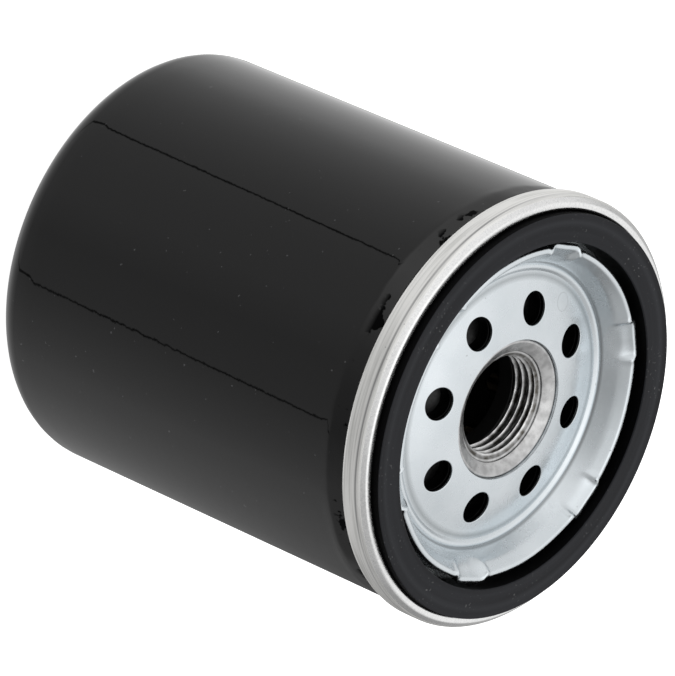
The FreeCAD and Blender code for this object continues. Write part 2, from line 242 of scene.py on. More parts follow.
# ---- fineness of the meshes ----
SAME = 1e-6
SAME_VERTEX = 1.5e-6            # in metres
SHARP_ANGLE = math.radians(38)
ARC_STEP = math.radians(9)
CAN_SEGMENTS = 360
CAN_STEP = 4.0
NECK_STEP = 0.5
LID_SEGMENTS = 480
LID_STEP = 0.45
PLATE_SEGMENTS = 240
BORE_STEP = 0.06
GASKET_SEGMENTS = 360
GASKET_STEP = 0.6
SECTOR_SIDE_STEPS = 18
HOLE_RINGS = 12
RING_CROWDING = 1.5             # above 1, the rings crowd towards the hole
ROLL_RINGS = 3
ROLL_STEP = math.radians(90 / ROLL_RINGS)


# ---- sections ----
def unit_step(start, end):
    """Unit direction from one corner to the next."""
    length = math.hypot(end[0] - start[0], end[1] - start[1])
    return (end[0] - start[0]) / length, (end[1] - start[1]) / length


def shifted_path(corners, shift):
    """An open path moved to its left by shift, with its bends kept round."""
    moved = []
    for index, (u, v, rounding) in enumerate(corners):
        arriving = unit_step(corners[index - 1], corners[index]) if index > 0 else None
        leaving = unit_step(corners[index], corners[index + 1]) if index < len(corners) - 1 else None
        arriving = arriving or leaving
        leaving = leaving or arriving
        share = 1 + arriving[0] * leaving[0] + arriving[1] * leaving[1]
        left = (-(arriving[1] + leaving[1]) / share, (arriving[0] + leaving[0]) / share)
        turn = arriving[0] * leaving[1] - arriving[1] * leaving[0]
        bend = rounding - math.copysign(shift, turn * shift) if rounding > 0 else 0
        moved.append((u + left[0] * shift, v + left[1] * shift, bend))
    return moved


def corner_points(before, corner, after):
    """Points along the arc that rounds a corner given as (u, v, rounding)."""
    u, v, rounding = corner
    if rounding <= 0:
        return [(u, v)]
    arriving = unit_step(before, corner)
    leaving = unit_step(corner, after)
    cosine = arriving[0] * leaving[0] + arriving[1] * leaving[1]
    turn = math.acos(max(-1.0, min(1.0, cosine)))
    side = math.copysign(1, arriving[0] * leaving[1] - arriving[1] * leaving[0])
    reach = rounding * math.tan(turn / 2)
    start = (u - arriving[0] * reach, v - arriving[1] * reach)
    centre = (start[0] - side * arriving[1] * rounding, start[1] + side * arriving[0] * rounding)
    first = math.atan2(start[1] - centre[1], start[0] - centre[0])
    pieces = max(2, math.ceil(turn / ARC_STEP))
    points = []
    for index in range(pieces + 1):
        angle = first + side * turn * index / pieces
        points.append((centre[0] + rounding * math.cos(angle), centre[1] + rounding * math.sin(angle)))
    return points


def outline(corners):
    """Closed section through corners given as (radius, height, rounding)."""
    points = []
    for index, corner in enumerate(corners):
        points += corner_points(corners[index - 1], corner, corners[(index + 1) % len(corners)])
    return points


def sheet_outline(corners, thickness):
    """Closed section of bent sheet whose middle line runs through the corners."""
    left = shifted_path(corners, thickness / 2)
    right = shifted_path(corners, -thickness / 2)
    return outline(left + right[::-1])


def subdivided(section, longest, chosen=None):
    """The section with its sides, or the chosen ones, cut into equal steps no longer than a limit."""
    points = []
    for index, start in enumerate(section):
        end = section[(index + 1) % len(section)]
        cut = chosen is None or chosen(start, end)
        steps = max(1, math.ceil(math.dist(start, end) / longest)) if cut else 1
        for step in range(steps):
            share = step / steps
            points.append((start[0] + (end[0] - start[0]) * share, start[1] + (end[1] - start[1]) * share))
    return points


def split_at(section, radius):
    """The section with a point added wherever a side crosses a radius."""
    points = []
    for index, start in enumerate(section):
        end = section[(index + 1) % len(section)]
        points.append(start)
        if min(start[0], end[0]) < radius - SAME and max(start[0], end[0]) > radius + SAME:
            share = (radius - start[0]) / (end[0] - start[0])
            points.append((radius, start[1] + (end[1] - start[1]) * share))
    return points


def smooth(value):
    """Smooth step from 0 to 1."""
    value = max(0.0, min(1.0, value))
    return value * value * (3 - 2 * value)


# ---- meshes ----
def finished(name, vertices, faces, body, nodes):
    """Makes the closed mesh, in metres, and says what it rides on and stands for."""
    mesh = bpy.data.meshes.new(name)
    mesh.from_pydata([(x * MM, y * MM, z * MM) for x, y, z in vertices], [], faces)
    work = bmesh.new()
    work.from_mesh(mesh)
    bmesh.ops.remove_doubles(work, verts=work.verts, dist=SAME_VERTEX)
    bmesh.ops.recalc_face_normals(work, faces=work.faces)
    work.to_mesh(mesh)
    work.free()
    mesh.shade_smooth()
    mesh.set_sharp_from_angle(angle=SHARP_ANGLE)
    piece = bpy.data.objects.new(name, mesh)
    bpy.context.scene.collection.objects.link(piece)
    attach(piece, body)
    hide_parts(*nodes)
    return piece


def in_zone(point):
    """True if a section point lies on the pierced ring."""
    return PIERCED_FROM - SAME <= point[0] <= PIERCED_TO + SAME


def turned(section, segments, shape, pierced=False):
    """Vertices and faces of a closed section turned about the axis and moved by a shape function.

    A pierced part is left open between the radii of the pierced ring.
    """
    vertices = []
    for radius, height in section:
        for step in range(segments):
            angle = 2 * math.pi * step / segments
            r, z = shape(radius, height, angle)
            vertices.append((r * math.cos(angle), r * math.sin(angle), z))
    faces = []
    for index, point in enumerate(section):
        following = (index + 1) % len(section)
        if pierced and in_zone(point) and in_zone(section[following]):
            continue
        for step in range(segments):
            turn = (step + 1) % segments
            faces.append((index * segments + step, following * segments + step,
                          following * segments + turn, index * segments + turn))
    return vertices, faces


def zone_chains(section):
    """The section's upper and lower sides over the pierced ring, each as points by radius."""
    chains = {1: set(), -1: set()}
    for index, point in enumerate(section):
        following = section[(index + 1) % len(section)]
        if in_zone(point) and in_zone(following) and abs(point[0] - following[0]) > SAME:
            side = 1 if following[0] < point[0] else -1
            chains[side].update((point, following))
    upper, lower = (sorted(chains[side]) for side in (1, -1))
    if upper[0][1] < lower[0][1]:
        upper, lower = lower, upper
    return upper, lower


def height_on(chain, radius):
    """Height of a chain of points at a radius."""
    for start, end in zip(chain, chain[1:]):
        if radius <= end[0]:
            share = (radius - start[0]) / (end[0] - start[0])
            return start[1] + (end[1] - start[1]) * max(0.0, share)
    return chain[-1][1]


def sector_edge(middle, half_steps, segments):
    """Points round the edge of one sector of the pierced ring."""
    step = 2 * math.pi / segments
    inwards = (PIERCED_FROM - PIERCED_TO) / SECTOR_SIDE_STEPS
    points = []
    for index in range(-half_steps, half_steps):
        points.append((PIERCED_TO, middle + index * step))
    for index in range(SECTOR_SIDE_STEPS):
        points.append((PIERCED_TO + inwards * index, middle + half_steps * step))
    for index in range(half_steps, -half_steps, -1):
        points.append((PIERCED_FROM, middle + index * step))
    for index in range(SECTOR_SIDE_STEPS):
        points.append((PIERCED_FROM - inwards * index, middle - half_steps * step))
    return [(radius * math.cos(angle), radius * math.sin(angle)) for radius, angle in points]


def pierce(vertices, faces, section, segments, hole_radius, roll):
    """Fills the pierced ring with a sheet that has one round, roll-edged hole in each sector."""
    upper, lower = zone_chains(section)
    for sector in range(INLETS):
        middle = 2 * math.pi * sector / INLETS
        centre = (INLET_CIRCLE * math.cos(middle), INLET_CIRCLE * math.sin(middle))
        edge = sector_edge(middle, segments // INLETS // 2, segments)
        rims = []
        for chain, side in ((upper, 1), (lower, -1)):
            loops = []
            for ring in range(HOLE_RINGS + 1 + ROLL_RINGS):
                loop = []
                for x, y in edge:
                    away = (x - centre[0], y - centre[1])
                    reach = math.hypot(*away)
                    share = min(1.0, ring / HOLE_RINGS)
                    lean = ROLL_STEP * max(0, ring - HOLE_RINGS)
                    rim = hole_radius + roll * (1 - math.sin(lean))
                    distance = reach + (rim - reach) * (1 - (1 - share) ** RING_CROWDING)
                    px = centre[0] + away[0] / reach * distance
                    py = centre[1] + away[1] / reach * distance
                    drop = side * roll * (1 - math.cos(lean))
                    loop.append(len(vertices))
                    vertices.append((px, py, height_on(chain, math.hypot(px, py)) - drop))
                loops.append(loop)
            join_loops(faces, loops)
            rims.append(loops[-1])
        join_loops(faces, rims)


def join_loops(faces, loops):
    """Quads between each closed loop of vertices and the next."""
    for first, second in zip(loops, loops[1:]):
        for index in range(len(first)):
            following = (index + 1) % len(first)
            faces.append((first[index], second[index], second[following], first[following]))


def tube_along(path, radius, around=14):
    """Vertices and faces of a round wire that follows a path, with domed ends."""
    vertices = []
    loops = []
    stations = [(0, swell) for swell in WIRE_END_SWELLS]
    stations += [(index, 1.0) for index in range(len(path))]
    stations += [(len(path) - 1, swell) for swell in reversed(WIRE_END_SWELLS)]
    for order, (index, swell) in enumerate(stations):
        before = Vector(path[max(0, index - 1)])
        after = Vector(path[min(len(path) - 1, index + 1)])
        heading = (after - before).normalized()
        outward = Vector((path[index][0], path[index][1], 0)).normalized()
        outward = (outward - heading * outward.dot(heading)).normalized()
        across = heading.cross(outward)
        lead = math.sqrt(1 - swell * swell) * radius * (-1 if order < len(WIRE_END_SWELLS) else 1)
        middle = Vector(path[index]) + heading * lead * (swell < 1)
        loop = []
        for step in range(around):
            angle = 2 * math.pi * step / around
            loop.append(len(vertices))
            offset = (outward * math.cos(angle) + across * math.sin(angle)) * radius * swell
            vertices.append(tuple(middle + offset))
        loops.append(loop)
    faces = []
    join_loops(faces, loops)
    faces.append(tuple(loops[0]))
    faces.append(tuple(loops[-1]))
    return vertices, faces


# ---- housing ----
def seam_layers():
    """Middle radii of the five layers of the double seam, from the outside in."""
    layers = []
    outside = SEAM_RADIUS
    for sheet in (LID_SHEET, CAN_SHEET, LID_SHEET, CAN_SHEET, LID_SHEET):
        layers.append(outside - sheet / 2)
        outside -= sheet + SEAM_LAYER_GAP
    return layers


def neck_dents(radius, height, angle):
    """Shallow uneven dents left in the neck by the seaming rolls."""
    below = SEAM_FOOT - height
    reach = smooth(below / DENTS_FADE_ABOVE) * smooth((DENTS_REACH - below) / DENTS_FADE_BELOW)
    where = Vector((DENTS_AROUND * math.cos(angle), DENTS_AROUND * math.sin(angle), height * DENTS_PER_MM))
    dent = noise.noise(where) + FINE_DENT_SHARE * noise.noise(where * FINE_DENT_SCALE)
    return radius - DENT_DEPTH * reach * dent, height


def build_canister():
    """The drawn can, with its end recess, neck and body hook."""
    half = CAN_SHEET / 2
    _, body_hook, _, body_wall, _ = seam_layers()
    hook_top = SEAM_FOOT + SEAM_HEIGHT - LID_SHEET - SEAM_LAYER_GAP - half
    wall = CAN_RADIUS - half
    path = [
        (0, END_RECESS_DEPTH + half, 0),
        (END_RECESS_RADIUS, END_RECESS_DEPTH + half, END_RECESS_BEND),
        (END_RECESS_RADIUS + END_RECESS_SLOPE, half, END_RECESS_BEND),
        (wall, half, END_CORNER - half),
        (wall, NECK_START, NECK_OUTER_BEND),
        (body_wall, NECK_END, NECK_INNER_BEND),
        (body_wall, hook_top, ROLL_BEND),
        (body_hook, hook_top, ROLL_BEND),
        (body_hook, BODY_HOOK_END, 0),
    ]
    section = subdivided(sheet_outline(path, CAN_SHEET), CAN_STEP)
    section = subdivided(section, NECK_STEP, along_neck)
    vertices, faces = turned(section, CAN_SEGMENTS, neck_dents)
    return finished("canister_shell", vertices, faces, "housing", ["canister"])


def along_neck(start, end):
    """True for a side of the section that runs along the neck."""
    return min(start[1], end[1]) > SEAM_FOOT - NECK_ZONE and max(start[1], end[1]) < SEAM_FOOT


def crimped(radius, height, angle):
    """Pushes the lip outwards at the crimps, pinched at their ends, and leaves it wavy between them."""
    if not CRIMP_INNER < radius < CRIMP_OUTER or height < LID_FLOOR:
        return radius, height
    pitch = 2 * math.pi / CRIMPS
    offset = abs((angle - CRIMP_FIRST + pitch / 2) % pitch - pitch / 2)
    window = 1 - smooth((offset - CRIMP_HALF_WIDTH + CRIMP_EDGE) / (2 * CRIMP_EDGE))
    across = min(1.0, offset / CRIMP_HALF_WIDTH)
    depth = CRIMP_DEPTH - CRIMP_END_RISE * across * across
    below_lip = SEAM_FOOT + LIP_HEIGHT - height
    rise = smooth(1 - below_lip / depth)
    lift = smooth(1 - below_lip / LIP_WORKED)
    pinch = math.exp(-((offset - CRIMP_HALF_WIDTH) / CRIMP_PINCH) ** 2)
    shoulder = math.exp(-((offset - CRIMP_HALF_WIDTH) / CRIMP_SHOULDER) ** 2) * (1 - window)
    wave = SLOW_WAVE * math.sin(SLOW_WAVES * angle + SLOW_WAVE_PHASE)
    wave += FAST_WAVE * math.sin(FAST_WAVES * angle)
    fullness = CRIMP_MIDDLE_SHARE + (1 - CRIMP_MIDDLE_SHARE) * across
    push = CRIMP_PUSH * window * rise * fullness
    push += (wave + CRIMP_SHOULDER_PUSH * shoulder - CRIMP_PINCH_PULL * pinch) * lift
    return radius + push, height - (CRIMP_DROP * window - CRIMP_PINCH_RISE * pinch) * lift


def dome_height(radius):
    """Height of the lid's middle line over the pierced dome, which steepens outwards."""
    beyond = radius - LID_HOLE
    return SEAM_FOOT + LID_HOLE_RISE - LID_SHEET / 2 - DOME_SLOPE * beyond - DOME_CURVE * beyond * beyond


def build_lid():
    """The lid: pierced dome, bead, wall, crimped lip, gasket channel and outer layer of the seam."""
    half = LID_SHEET / 2
    outer_wall, _, cover_hook, _, chuck_wall = seam_layers()
    floor = LID_FLOOR - half
    lip_top = SEAM_FOOT + LIP_HEIGHT - half
    channel_wall = LIP_RADIUS - half
    seam_top = SEAM_FOOT + SEAM_HEIGHT - half
    dome_steps = [LID_HOLE + DOME_STEP * step for step in range(1, DOME_STEPS + 1)]
    path = [
        (LID_HOLE, dome_height(LID_HOLE), 0),
        *[(radius, dome_height(radius), DOME_BEND) for radius in dome_steps],
        (DOME_RIM, dome_height(DOME_RIM), DOME_RIM_BEND),
        (VALLEY, floor + VALLEY_RISE, VALLEY_BEND),
        (BEAD, floor + BEAD_RISE, FLOOR_BEND),
        (CREASE, floor - CREASE_DROP, CREASE_BEND),
        (FLARE, floor + FLARE_RISE, FLARE_BEND),
        (channel_wall - 2 * LIP_FOLD, lip_top, LIP_FOLD),
        (channel_wall, lip_top, LIP_FOLD),
        (channel_wall, floor, FLOOR_BEND),
        (chuck_wall, floor, FLOOR_BEND),
        (chuck_wall, seam_top, SEAM_MOUTH_BEND),
        (outer_wall - SHOULDER_WIDTH, seam_top, SEAM_TOP_BEND),
        (outer_wall, SHOULDER_FOOT, SHOULDER_BEND),
        (outer_wall, SEAM_ROLL_FOOT, ROLL_BEND),
        (cover_hook, SEAM_ROLL_FOOT, ROLL_BEND),
        (cover_hook, COVER_HOOK_END, 0),
    ]
    section = subdivided(sheet_outline(path, LID_SHEET), LID_STEP)
    section = split_at(split_at(section, PIERCED_FROM), PIERCED_TO)
    section = [fold_mark(point) for point in section]
    vertices, faces = turned(section, LID_SEGMENTS, crimped, pierced=True)
    pierce(vertices, faces, section, LID_SEGMENTS, INLET_RADIUS, INLET_ROLL)
    return finished("lid_stamping", vertices, faces, "housing", ["seaming_lid"])


def fold_mark(point):
    """Presses the fine line that the seaming roll leaves round the outer band."""
    radius, height = point
    mark = math.exp(-((height - FOLD_LINE) / FOLD_HALF_WIDTH) ** 2)
    outermost = radius > SEAM_RADIUS - FOLD_DEPTH
    return (radius - FOLD_DEPTH * mark, height) if outermost else point


def thread_radius(height, angle):
    """Radius of the right-hand internal thread form at a height and angle."""
    turn = (height / THREAD_PITCH - angle / (2 * math.pi)) % 1.0
    from_crest = min(turn, 1 - turn)
    share = max(0.0, min(1.0, (from_crest - CREST_FLAT) / (0.5 - CREST_FLAT - ROOT_FLAT)))
    return THREAD_MINOR + (THREAD_MAJOR - THREAD_MINOR) * share


def threaded(radius, height, angle):
    """Cuts the thread into the bore below its countersunk mouth."""
    if radius >= BORE_MOUTH:
        return radius, height
    if radius > THREAD_MINOR + SAME:
        return max(radius, thread_radius(height, angle)), height
    relief = THREAD_MINOR + max(0.0, PLATE_FOOT + THREAD_RELIEF - height)
    return max(thread_radius(height, angle), relief), height


def build_plate():
    """The tapping plate with its bell-mouthed, threaded hub."""
    crown = SEAM_FOOT + LID_HOLE_RISE - LID_SHEET - CROWN_LID_GAP
    top = LID_FLOOR - LID_SHEET - PLATE_LID_GAP
    bottom = top - PLATE_THICKNESS
    boss = LID_HOLE - BOSS_GAP
    mouth_foot = crown - MOUTH_DROP - MOUTH_DEPTH
    corners = [
        (THREAD_MINOR, PLATE_FOOT, 0),
        (HUB_RADIUS, PLATE_FOOT, HUB_EDGE),
        (HUB_RADIUS, crown - PLATE_THICKNESS, HUB_ROOT_BEND),
        (LID_HOLE + HUB_ROOT_REACH, crown - PLATE_THICKNESS, PLATE_ROUNDING),
        (PLATE_BEND, bottom, PLATE_UNDER_ROUNDING),
        (PLATE_RADIUS, bottom, PLATE_EDGE),
        (PLATE_RADIUS, top, PLATE_EDGE),
        (PLATE_BEND + PLATE_BEND_SHIFT, top, PLATE_ROUNDING),
        (boss, crown + BOSS_FOOT_RISE, BOSS_FOOT_BEND),
        (boss, crown + LID_SHEET, BOSS_EDGE),
        (BORE_MOUTH, crown - MOUTH_DROP, MOUTH_EDGE),
        (BORE_MOUTH - MOUTH_TAPER, mouth_foot, MOUTH_FOOT_BEND),
        (THREAD_MAJOR, mouth_foot - COUNTERSINK_LEDGE, COUNTERSINK_BEND),
        (THREAD_MINOR, mouth_foot - COUNTERSINK_LEDGE - COUNTERSINK_DEPTH, 0),
    ]
    section = split_at(split_at(outline(corners), PIERCED_FROM), PIERCED_TO)
    section = subdivided(section, BORE_STEP, in_bore)
    vertices, faces = turned(section, PLATE_SEGMENTS, threaded, pierced=True)
    hole_radius = INLET_RADIUS + PLATE_INLET_EXTRA
    pierce(vertices, faces, section, PLATE_SEGMENTS, hole_radius, PLATE_INLET_ROLL)
    return finished("threaded_plate", vertices, faces, "housing", ["tapping_plate"])


def in_bore(start, end):
    """True for a side of the section that runs down the bore."""
    return max(start[0], end[0]) < BORE_MOUTH + SAME


def bulged(radius, height, angle):
    """Lets the gasket's outer edge swell a little towards one side, as soft rubber does."""
    outer = smooth((radius - WORN_BAND) / (GASKET_RADIUS - WORN_BAND))
    swell = GASKET_BULGE_SHARE + math.cos(angle - GASKET_BULGE_AZIMUTH)
    return radius + outer * GASKET_BULGE * swell, height


def build_gasket():
    """The square-section ring, whose face stands a little prouder at its inner edge."""
    bottom = low("gasket")
    corners = [
        (GASKET_INNER, bottom, GASKET_EDGE),
        (GASKET_RADIUS, bottom, GASKET_EDGE),
        (GASKET_RADIUS, GASKET_FACE + GASKET_OUTER_RISE, GASKET_EDGE),
        (GASKET_INNER, GASKET_FACE + GASKET_INNER_RISE, GASKET_EDGE),
    ]
    section = subdivided(outline(corners), GASKET_STEP)
    vertices, faces = turned(section, GASKET_SEGMENTS, bulged)
    return finished("gasket_ring", vertices, faces, "housing", ["gasket"])


# ---- springs ----
def coil_path(wide, narrow, bottom, top, turns, wire):
    """Middle line of a coil spring whose end turns lie flat, wide end down."""
    steps = int(turns * COIL_STEPS)
    flat = COIL_FLAT_TURN / turns
    path = []
    for index in range(steps + 1):
        share = index / steps
        even = max(0.0, min(1.0, (share - flat) / (1 - 2 * flat)))
        climb = COIL_SOFTENING * smooth(even) + (1 - COIL_SOFTENING) * even
        radius = wide + (narrow - wide) * climb
        angle = 2 * math.pi * turns * share
        height = bottom + wire / 2 + (top - bottom - wire) * climb
        path.append((radius * math.cos(angle), radius * math.sin(angle), height))
    return path


def build_element_spring():
    """Conical spring under the element, made as one fixed coil; the real one shortens as the element moves
    down.
    """
    bottom = CAN_SHEET + ELEMENT_COIL_GAP
    top = CAP_FOOT - ELEMENT_COIL_GAP
    path = coil_path(ELEMENT_COIL_WIDE, ELEMENT_COIL_NARROW, bottom, top, ELEMENT_TURNS, ELEMENT_WIRE)
    vertices, faces = tube_along(path, ELEMENT_WIRE / 2)
    piece = finished("element_coil", vertices, faces, "housing", ["element_spring"])
    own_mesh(piece)
    return piece


def build_bypass_spring():
    """Spring of the bypass valve, held at its top by the cage."""
    bottom = high("bypass_disc") - BYPASS_DISC_CROWN + BYPASS_COIL_GAP
    top = high("bypass_cage") - CAGE_SHEET
    path = coil_path(BYPASS_COIL, BYPASS_COIL, bottom, top, BYPASS_TURNS, BYPASS_WIRE)
    vertices, faces = tube_along(path, BYPASS_WIRE / 2, around=10)
    piece = finished("bypass_coil", vertices, faces, "element", ["bypass_spring"])
    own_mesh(piece)
    return piece


def build_finger_spring():
    """Stamped spring under the valve: a copy of the CAD's own shape, left as it is; the real one flattens
    as the valve comes down.
    """
    source = NODES["anti_drain_spring"]
    piece = bpy.data.objects.new("finger_spring", source.data.copy())
    piece.matrix_world = source.matrix_world
    bpy.context.scene.collection.objects.link(piece)
    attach(piece, "element")
    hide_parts("anti_drain_spring")
    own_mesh(piece)
    return piece


# ---- materials ----
MICRON = 1e-6
METRES_PER_TURN_ANGLE = 0.0012  # how far a pattern that runs round the axis moves on in a radian


class Paint:
    """A procedural material: a Principled shader and short calls that add nodes to it."""

    def __init__(self, name, colour, roughness, metallic=0.0):
        self.material = bpy.data.materials.new(name)
        self.material.use_nodes = True
        self.nodes = self.material.node_tree.nodes
        self.links = self.material.node_tree.links
        self.shader = self.nodes["Principled BSDF"]
        self.shader.inputs["Base Color"].default_value = (*colour, 1)
        self.shader.inputs["Roughness"].default_value = roughness
        self.shader.inputs["Metallic"].default_value = metallic
        self.place = self.nodes.new("ShaderNodeTexCoord").outputs["Object"]

    def put(self, socket, value):
        """Sets a socket to a number or links it to an output."""
        if isinstance(value, bpy.types.NodeSocket):
            self.links.new(value, socket)
        else:
            socket.default_value = value

    def math(self, operation, *values):
        """Result of a Math node."""
        made = self.nodes.new("ShaderNodeMath")
        made.operation = operation
        for socket, value in zip(made.inputs, values):
            self.put(socket, value)
        return made.outputs[0]

    def noise(self, scale, detail, where=None):
        """Noise pattern, from 0 to 1, with a scale in cells per metre."""
        made = self.nodes.new("ShaderNodeTexNoise")
        made.inputs["Scale"].default_value = scale
        made.inputs["Detail"].default_value = detail
        made.inputs["Roughness"].default_value = 0.5
        self.put(made.inputs["Vector"], where or self.place)
        return made.outputs["Fac"]

    def line(self, value, middle, peak, slope):
        """A soft line: its peak where the value is the middle, falling on both sides down to 0."""
        away = self.math("ABSOLUTE", self.math("SUBTRACT", value, middle))
        fallen = self.math("SUBTRACT", peak, self.math("MULTIPLY", away, slope))
        return self.math("MAXIMUM", fallen, 0.0)

    def part(self, axis):
        """One coordinate of the object in metres."""
        parts = self.nodes.new("ShaderNodeSeparateXYZ")
        self.put(parts.inputs[0], self.place)
        return parts.outputs[axis]

    def radius(self, x=0.0, y=0.0):
        """Distance in metres from an upright line, the filter's axis unless told otherwise."""
        across = self.math("SUBTRACT", self.part("X"), x)
        along = self.math("SUBTRACT", self.part("Y"), y)
        squares = self.math("MULTIPLY_ADD", across, across, self.math("MULTIPLY", along, along))
        return self.math("SQRT", squares)

    def rounds(self):
        """Coordinates that hardly change on the way round the axis: radius, turn and height."""
        angle = self.math("ARCTAN2", self.part("Y"), self.part("X"))
        joined = self.nodes.new("ShaderNodeCombineXYZ")
        self.put(joined.inputs["X"], self.radius())
        self.put(joined.inputs["Y"], self.math("MULTIPLY", angle, METRES_PER_TURN_ANGLE))
        self.put(joined.inputs["Z"], self.part("Z"))
        return joined.outputs[0]

    def weld_mark(self):
        """A thin ring left on the lid by the spot weld to the plate, 1 on its line and 0 elsewhere."""
        x = WELD_CIRCLE * math.cos(WELD_AZIMUTH) * MM
        y = WELD_CIRCLE * math.sin(WELD_AZIMUTH) * MM
        away = self.math("ABSOLUTE", self.math("SUBTRACT", self.radius(x, y), WELD_RADIUS * MM))
        return self.math("LESS_THAN", away, WELD_LINE * MM)

    def ramp(self, value, *stops):
        """Colour ramp with stops of (position, grey or colour)."""
        made = self.nodes.new("ShaderNodeValToRGB")
        self.put(made.inputs[0], value)
        while len(made.color_ramp.elements) < len(stops):
            made.color_ramp.elements.new(0.5)
        for element, (position, colour) in zip(made.color_ramp.elements, stops):
            element.position = position
            element.color = (*colour, 1) if isinstance(colour, tuple) else (colour, colour, colour, 1)
        return made.outputs[0]

    def blended(self, share, first, second):
        """Mix of two colours by a share."""
        made = self.nodes.new("ShaderNodeMix")
        made.data_type = "RGBA"
        self.put(made.inputs["Factor"], share)
        for socket, value in ((made.inputs[6], first), (made.inputs[7], second)):
            self.put(socket, (*value, 1) if isinstance(value, tuple) else value)
        return made.outputs[2]

    def bump(self, height, depth):
        """Relief of a given depth in metres, laid over any relief set before."""
        made = self.nodes.new("ShaderNodeBump")
        made.inputs["Strength"].default_value = 1.0
        made.inputs["Distance"].default_value = depth
        self.put(made.inputs["Height"], height)
        normal = self.shader.inputs["Normal"]
        if normal.is_linked:
            self.put(made.inputs["Normal"], normal.links[0].from_socket)
        self.put(normal, made.outputs[0])

    def colour(self, value):
        """Sets the base colour."""
        self.put(self.shader.inputs["Base Color"], value)

    def roughness(self, value):
        """Sets the roughness."""
        self.put(self.shader.inputs["Roughness"], value)

    def specular(self, value):
        """Sets the level of the clear reflection."""
        self.put(self.shader.inputs["Specular IOR Level"], value)


def black_paint():
    """Gloss black enamel with orange peel, a little dust and dull smears of sealer in the neck."""
    black = (0.0006, 0.0006, 0.0007)
    dusty = (0.035, 0.035, 0.037)
    smears_start = (SEAM_FOOT - 3.6) * MM
    smears_slope = 900.0
    gloss, gloss_lost = 0.5, 0.47
    paint = Paint("gloss_black_enamel", black, 0.03)
    dust = paint.ramp(paint.noise(1000, 1.0), (0.77, 0.0), (0.80, 1.0))
    paint.colour(paint.blended(dust, black, dusty))
    smears = paint.ramp(paint.noise(210, 4.0), (0.585, 0.0), (0.605, 1.0))
    neck = paint.math("MULTIPLY", paint.math("SUBTRACT", paint.part("Z"), smears_start), smears_slope)
    neck = paint.math("MAXIMUM", paint.math("MINIMUM", neck, 1.0), 0.0)
    dull = paint.math("MULTIPLY", smears, neck)
    paint.specular(paint.math("MULTIPLY_ADD", dull, -gloss_lost, gloss))
    haze = paint.noise(60, 2.0)
    paint.roughness(paint.math("MULTIPLY_ADD", haze, 0.02, 0.02))
    paint.bump(paint.noise(420, 1.5), 5.5 * MICRON)
    paint.bump(paint.noise(1300, 1.0), 1.2 * MICRON)
    return paint.material


def zinc_sheet():
    """Satin zinc plate, faintly blue, clouded and pitted, with roll lines and a beige cast on the seam.

    Painted shade gives dark lines in the seam's fold, in the valley round the dome and in the crease
    beyond the bead.
    """
    outer_band = (SEAM_RADIUS - 0.35) * MM
    seam_band = (SEAM_RADIUS - 2.6) * MM
    fold_shade_tone = (0.20, 0.20, 0.21)
    valley_shade_tone = (0.42, 0.45, 0.465)
    crease_shade_tone = (0.21, 0.22, 0.225)
    pit_tone = (0.28, 0.28, 0.28)
    weld_tone = (0.3, 0.32, 0.33)
    paint = Paint("zinc_plated_sheet", (0.80, 0.82, 0.84), 0.3, metallic=1.0)
    shade = paint.ramp(paint.noise(160, 4.0), (0.3, (0.715, 0.765, 0.795)), (0.7, (0.775, 0.82, 0.85)))
    grain = paint.noise(2600, 3.0)
    lines = paint.noise(2400, 2.0, paint.rounds())
    streaks = paint.ramp(lines, (0.34, (0.78, 0.78, 0.76)), (0.56, (0.99, 0.985, 0.965)))
    radius = paint.radius()
    outside = paint.math("GREATER_THAN", radius, outer_band)
    shoulder = paint.math("GREATER_THAN", radius, seam_band)
    mottled = paint.ramp(grain, (0.34, (0.87, 0.875, 0.875)), (0.60, (0.985, 0.985, 0.98)))
    base = paint.blended(shoulder, shade, mottled)
    base = paint.blended(outside, base, streaks)
    # Painted shade: a dark line along the pressed fold round the seam's outer band, faded in and out by
    # noise.
    fold_shade = paint.line(paint.part("Z"), FOLD_LINE * MM, peak=1.0, slope=3000.0)
    fold_shade = paint.math("MULTIPLY", fold_shade, shoulder)
    fold_shade_fading = paint.ramp(paint.noise(30, 2.0), (0.40, 0.35), (0.60, 0.85))
    base = paint.blended(paint.math("MULTIPLY", fold_shade, fold_shade_fading), base, fold_shade_tone)
    # Painted shade: a grey line round the valley at the dome's rim.
    valley_shade = paint.line(radius, VALLEY_SHADE_CIRCLE * MM, peak=0.85, slope=900.0)
    base = paint.blended(valley_shade, base, valley_shade_tone)
    # Painted shade: a dark line in the crease at the foot of the conical wall, beyond the bead.
    crease_shade = paint.line(radius, CREASE * MM, peak=0.75, slope=3200.0)
    base = paint.blended(crease_shade, base, crease_shade_tone)
    pits = paint.ramp(paint.noise(1500, 1.0), (0.77, 0.0), (0.81, 0.6))
    base = paint.blended(pits, base, pit_tone)
    base = paint.blended(paint.math("MULTIPLY", paint.weld_mark(), 0.35), base, weld_tone)
    paint.colour(base)
    satin = paint.math("MULTIPLY_ADD", paint.noise(500, 3.0), 0.16, 0.18)
    paint.roughness(paint.math("MULTIPLY_ADD", outside, 0.22, satin))
    paint.bump(paint.noise(900, 3.0), 3 * MICRON)
    paint.bump(grain, 1.2 * MICRON)
    paint.bump(paint.math("MULTIPLY", lines, outside), 8 * MICRON)
    return paint.material


